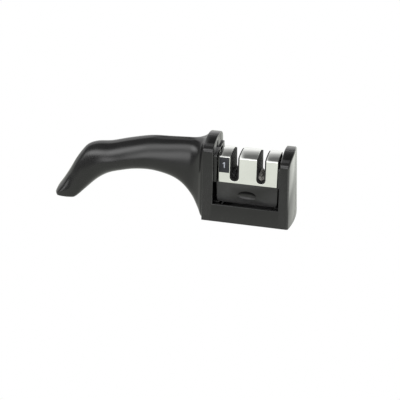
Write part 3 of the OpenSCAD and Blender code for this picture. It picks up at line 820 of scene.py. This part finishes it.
def dress_all():
    """Materials, the finer pieces with their nodes and bodies, and the nodes that stay as they are."""
    shell = plastic("black_moulding", grey(0.004), grey(0.007), (0.15, 0.21), 2600, 0.00002, 0.5)
    inner = plastic("carrier_moulding", grey(0.006), grey(0.009), (0.28, 0.36), 3000, 0.00003, 0.4)
    # Painted shade: less shine on the carrier plastic above the block top
    shade_above(inner, BLOCK_TOP)
    cover = plastic("cover_moulding", grey(0.016), grey(0.022), (0.5, 0.6), 3000, 0.00004)
    spacer = plastic("spacer_moulding", (0.05, 0.05, 0.055), (0.06, 0.06, 0.065), (0.45, 0.55), 3000, 0.00003)
    label = plastic("label_film", (0.008, 0.009, 0.015), (0.011, 0.013, 0.020), (0.3, 0.4), 2000, 0.00002)
    ink = plastic("number_ink", (0.42, 0.44, 0.5), (0.5, 0.52, 0.58), (0.4, 0.5), 2500, 0.00002)
    rubber = plastic("pad_rubber", grey(0.012), grey(0.02), (0.7, 0.85), 1800, 0.0001)
    cap = metal("polished_cap", (0.74, 0.75, 0.72), (0.79, 0.80, 0.77), (0.10, 0.16), (20, 1, 1), 260, 0.00001, 0.10)
    screws = metal("plated_steel", (0.5, 0.5, 0.51), (0.62, 0.62, 0.63), (0.25, 0.4), (1, 1, 1), 700)
    shaft = metal("ground_steel", (0.55, 0.55, 0.56), (0.66, 0.66, 0.67), (0.2, 0.32), (1, 12, 1), 400)
    brass = metal("turned_brass", (0.62, 0.46, 0.2), (0.74, 0.57, 0.27), (0.25, 0.4), (1, 8, 1), 500)
    diamond = grit("diamond_grit", grey(0.02), grey(0.08), (0.5, 0.7), 6000, 0.00008, 0.4)
    ceramic = grit("white_ceramic", (0.30, 0.29, 0.27), (0.42, 0.41, 0.38), (0.5, 0.65), 8000, 0.00004)

    front, rear = housing()
    carrier_front, carrier_rear = cartridge_halves()
    cap_piece = steel_cap()
    plate, number = label_plate(), label_number()
    for piece, body, node, slot, mat in (
        (front, "housing", "front_shell", "black_plastic", shell),
        (rear, "housing", "rear_shell", "black_plastic", shell),
        (carrier_front, "cartridge", "cartridge_front_half", "cartridge_plastic", inner),
        (carrier_rear, "cartridge", "cartridge_rear_half", "cartridge_plastic", inner),
        (cap_piece, "cartridge", "cartridge_cover", "polished_steel", cap),
        (plate, "cartridge", "stage_label", "label_ink", label),
    ):
        dress(piece, mat)
        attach(piece, body)
        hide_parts(node)
    dress(number, ink)
    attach(number, "cartridge")

    plain = {
        "housing_screws": (screws, 0.2), "base_screws": (screws, 0.2), "cartridge_screws": (screws, 0.15),
        "base_cover": (cover, 0.3), "base_pad": (rubber, 0.3),
        "coarse_bushings": (brass, 0.1), "fine_bushings": (brass, 0.1),
    }
    for node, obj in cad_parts.items():
        if node in plain:
            mat, width = plain[node]
        elif node.endswith("_shaft"):
            mat, width = shaft, 0.15
        elif node.endswith("_spacers"):
            mat, width = spacer, 0.1
        elif node.endswith("_discs"):
            mat, width = (diamond if node.startswith("coarse") else ceramic), 0.2
        else:
            continue
        dress(obj, mat)
        soften(obj, width)


# ---------------------------------------------------------------- stage


AZIMUTH, ELEVATION = math.radians(13.97), math.radians(28.18)
TARGET = Vector((24.985, 0, 6.94)) * MM
DISTANCE, LENS = 978.4 * MM, 95.28


def camera():
    data = bpy.data.cameras.new("camera")
    data.lens, data.sensor_width, data.sensor_fit = LENS, 36, "HORIZONTAL"
    obj = bpy.data.objects.new("camera", data)
    back = Vector((
        math.sin(AZIMUTH) * math.cos(ELEVATION), -math.cos(AZIMUTH) * math.cos(ELEVATION), math.sin(ELEVATION)
    ))
    obj.location = TARGET + back * DISTANCE
    obj.rotation_euler = (math.pi / 2 - ELEVATION, 0, AZIMUTH)
    data.clip_start, data.clip_end = 0.01, 50
    bpy.context.scene.collection.objects.link(obj)
    bpy.context.scene.camera = obj


def area(name, place, aim, size, power):
    data = bpy.data.lights.new(name, "AREA")
    data.shape = "RECTANGLE"
    data.size, data.size_y = size
    data.energy = power
    obj = bpy.data.objects.new(name, data)
    obj.location = place
    obj.rotation_euler = (Vector(aim) - Vector(place)).to_track_quat("-Z", "Y").to_euler()
    bpy.context.scene.collection.objects.link(obj)


# Brightness of the studio by elevation in degrees, tuned by profile to the photograph's reflections
REAR_GLOW = [
    (0, 1.20), (10, 1.15), (17, 0.98), (22, 0.72), (27, 0.48), (34, 0.36), (42, 0.16), (60, 0.17), (90, 0.12),
]
LEFT_GLOW = [(0, 1.2), (30, 1.6), (48, 2.3), (60, 2.2), (68, 0.8), (78, 0.2), (90, 0.12)]
LOW_BOX = [(0, 0.6), (5, 0.9), (9, 3.3), (15, 3.3), (19, 1.5), (22, 0.3), (26, 0.1), (90, 0.1)]
HIGH_BOX = [(0, 0.0), (21, 0.3), (25, 2.1), (31, 3.5), (38, 2.6), (44, 0.5), (50, 0.1), (90, 0.0)]
BRIGHT_SPOT = [(0, 0.0), (20, 0.0), (25, 1.7), (33, 1.7), (40, 0.2), (90, 0.0)]
GLOW_TOP, GLOW_FLOOR = 4.0, 0.1

# Left and right end of each front panel in degrees from straight ahead, and half of the soft band at an end
LOW_ENDS, HIGH_ENDS, SPOT_ENDS = (-28, 28), (-76, 32), (-58, -29)
END_SOFT = 5

# Where the rear backdrop gives way to the left one, along X, and the front to the rear, along Y
LEFT_TURN, REAR_TURN = (-0.25, -0.42), (-0.02, 0.2)

# Floor as mirrored in the object: tint, strengths, and the X in metres between which it brightens
FLOOR_TINT = (0.90, 0.92, 0.86, 1)
FLOOR_DIM, FLOOR_BRIGHT, FLOOR_TURN = 1.0, 2.4, (0.115, 0.165)
FLOOR_REACH, FLOOR_DROP = 4.0, 0.02
FLOOR_GREY, FLOOR_ROUGH = 0.9, 0.7
LAMP_PLACE, LAMP_AIM, LAMP_SIZE, LAMP_POWER = (0.0, 0.1, 1.2), (0, 0, 0.03), (0.9, 0.7), 1.6


def maths(nodes, links, operation, first, second=None):
    node = add(nodes, "ShaderNodeMath", operation=operation)
    links.new(first, node.inputs[0])
    if isinstance(second, (int, float)):
        node.inputs[1].default_value = second
    elif second is not None:
        links.new(second, node.inputs[1])
    return node.outputs[0]


def sum_of(nodes, links, first, second):
    node = add(nodes, "ShaderNodeVectorMath", operation="ADD")
    links.new(first, node.inputs[0])
    links.new(second, node.inputs[1])
    return node.outputs[0]


def glow_ramp(nodes, links, height, table):
    """Brightness over the elevation, kept as a share of the brightest value."""
    stops = [(e / 90, (v / GLOW_TOP,) * 3) for e, v in table]
    node = ramp(nodes, stops)
    links.new(height, node.inputs["Fac"])
    return node.outputs["Color"]


def fade(nodes, links, value, low, high):
    node = add(nodes, "ShaderNodeMapRange", interpolation_type="SMOOTHSTEP")
    node.inputs["From Min"].default_value = low
    node.inputs["From Max"].default_value = high
    links.new(value, node.inputs["Value"])
    return node.outputs["Result"]


def blend_glow(nodes, links, share, first, second):
    node = add(nodes, "ShaderNodeMix", data_type="RGBA")
    links.new(share, node.inputs[0])
    links.new(first, node.inputs[6])
    links.new(second, node.inputs[7])
    return node.outputs[2]


def soft_box(nodes, links, tilt, turned, table, ends):
    """Glow of one flat front panel, faded out towards its left and right ends."""
    left, right = ends
    glow = glow_ramp(nodes, links, tilt, table)
    from_left = fade(nodes, links, turned, math.radians(left - END_SOFT), math.radians(left + END_SOFT))
    from_right = fade(nodes, links, turned, math.radians(right + END_SOFT), math.radians(right - END_SOFT))
    share = maths(nodes, links, "MULTIPLY", from_left, from_right)
    node = add(nodes, "ShaderNodeVectorMath", operation="SCALE")
    links.new(glow, node.inputs[0])
    links.new(share, node.inputs["Scale"])
    return node.outputs[0]


def studio(world):
    """Pale backdrop behind and at the left, two soft panels and a bright spot in front, a dim ceiling."""
    nodes, links = world.node_tree.nodes, world.node_tree.links
    quarter = math.pi / 2
    coord = nodes.new("ShaderNodeTexCoord")
    split = nodes.new("ShaderNodeSeparateXYZ")
    links.new(coord.outputs["Generated"], split.inputs[0])
    side = split.outputs["X"]
    angle = maths(nodes, links, "ARCSINE", split.outputs["Z"])
    height = maths(nodes, links, "DIVIDE", angle, quarter)
    ahead = maths(nodes, links, "MULTIPLY", split.outputs["Y"], -1)
    turned = maths(nodes, links, "ARCTAN2", side, ahead)
    tilt = maths(nodes, links, "DIVIDE", maths(nodes, links, "ARCTAN2", split.outputs["Z"], ahead), quarter)
    low = soft_box(nodes, links, tilt, turned, LOW_BOX, LOW_ENDS)
    high = soft_box(nodes, links, tilt, turned, HIGH_BOX, HIGH_ENDS)
    spot = soft_box(nodes, links, tilt, turned, BRIGHT_SPOT, SPOT_ENDS)
    boxes = sum_of(nodes, links, sum_of(nodes, links, low, high), spot)
    dim = add(nodes, "ShaderNodeVectorMath", operation="MAXIMUM")
    dim.inputs[1].default_value = grey(GLOW_FLOOR)
    links.new(boxes, dim.inputs[0])
    at_left = fade(nodes, links, side, *LEFT_TURN)
    rear = glow_ramp(nodes, links, height, REAR_GLOW)
    left = glow_ramp(nodes, links, height, LEFT_GLOW)
    behind = blend_glow(nodes, links, at_left, rear, left)
    turn = fade(nodes, links, split.outputs["Y"], *REAR_TURN)
    back = nodes["Background"]
    links.new(blend_glow(nodes, links, turn, dim.outputs[0], behind), back.inputs["Color"])
    back.inputs["Strength"].default_value = GLOW_TOP
    white = add(nodes, "ShaderNodeBackground", Strength=1.0)
    white.inputs["Color"].default_value = (1, 1, 1, 1)
    path = nodes.new("ShaderNodeLightPath")
    mix = nodes.new("ShaderNodeMixShader")
    links.new(path.outputs["Is Camera Ray"], mix.inputs["Fac"])
    links.new(back.outputs["Background"], mix.inputs[1])
    links.new(white.outputs["Background"], mix.inputs[2])
    links.new(mix.outputs["Shader"], nodes["World Output"].inputs["Surface"])


def floor_plane():
    reach, low = FLOOR_REACH, -FLOOR_DROP * MM
    mesh = bpy.data.meshes.new("floor")
    corners = [(x, y, low) for x, y in ((-reach, -reach), (reach, -reach), (reach, reach), (-reach, reach))]
    mesh.from_pydata(corners, [], [(0, 1, 2, 3)])
    floor = bpy.data.objects.new("floor", mesh)
    bpy.context.scene.collection.objects.link(floor)
    return floor


def floor_material():
    """White to the camera, tinted in reflections, clear from below."""
    mat, nodes, links, bsdf = material("white_floor")
    bsdf.inputs["Base Color"].default_value = (*grey(FLOOR_GREY), 1)
    bsdf.inputs["Roughness"].default_value = FLOOR_ROUGH
    shown = add(nodes, "ShaderNodeEmission", Strength=1.0)
    mirrored = add(nodes, "ShaderNodeEmission", Strength=1.0)
    mirrored.inputs["Color"].default_value = FLOOR_TINT
    place = nodes.new("ShaderNodeNewGeometry")
    split = nodes.new("ShaderNodeSeparateXYZ")
    links.new(place.outputs["Position"], split.inputs[0])
    along = fade(nodes, links, split.outputs["X"], *FLOOR_TURN)
    vary(nodes, links, along, FLOOR_DIM, FLOOR_BRIGHT, mirrored.inputs["Strength"])
    path = nodes.new("ShaderNodeLightPath")
    glossy, seen = nodes.new("ShaderNodeMixShader"), nodes.new("ShaderNodeMixShader")
    links.new(path.outputs["Is Glossy Ray"], glossy.inputs["Fac"])
    links.new(bsdf.outputs["BSDF"], glossy.inputs[1])
    links.new(mirrored.outputs["Emission"], glossy.inputs[2])
    links.new(path.outputs["Is Camera Ray"], seen.inputs["Fac"])
    links.new(glossy.outputs["Shader"], seen.inputs[1])
    links.new(shown.outputs["Emission"], seen.inputs[2])
    clear, one_sided = nodes.new("ShaderNodeBsdfTransparent"), nodes.new("ShaderNodeMixShader")
    links.new(place.outputs["Backfacing"], one_sided.inputs["Fac"])
    links.new(seen.outputs["Shader"], one_sided.inputs[1])
    links.new(clear.outputs["BSDF"], one_sided.inputs[2])
    links.new(one_sided.outputs["Shader"], nodes["Material Output"].inputs["Surface"])
    return mat


def stage():
    floor = floor_plane()
    dress(floor, floor_material())

    world = bpy.data.worlds.new("world")
    bpy.context.scene.world = world
    world.use_nodes = True
    studio(world)
    area("top_box", LAMP_PLACE, LAMP_AIM, LAMP_SIZE, LAMP_POWER)


dress_all()
camera()
stage()
bpy.context.scene.view_settings.view_transform = "Standard"
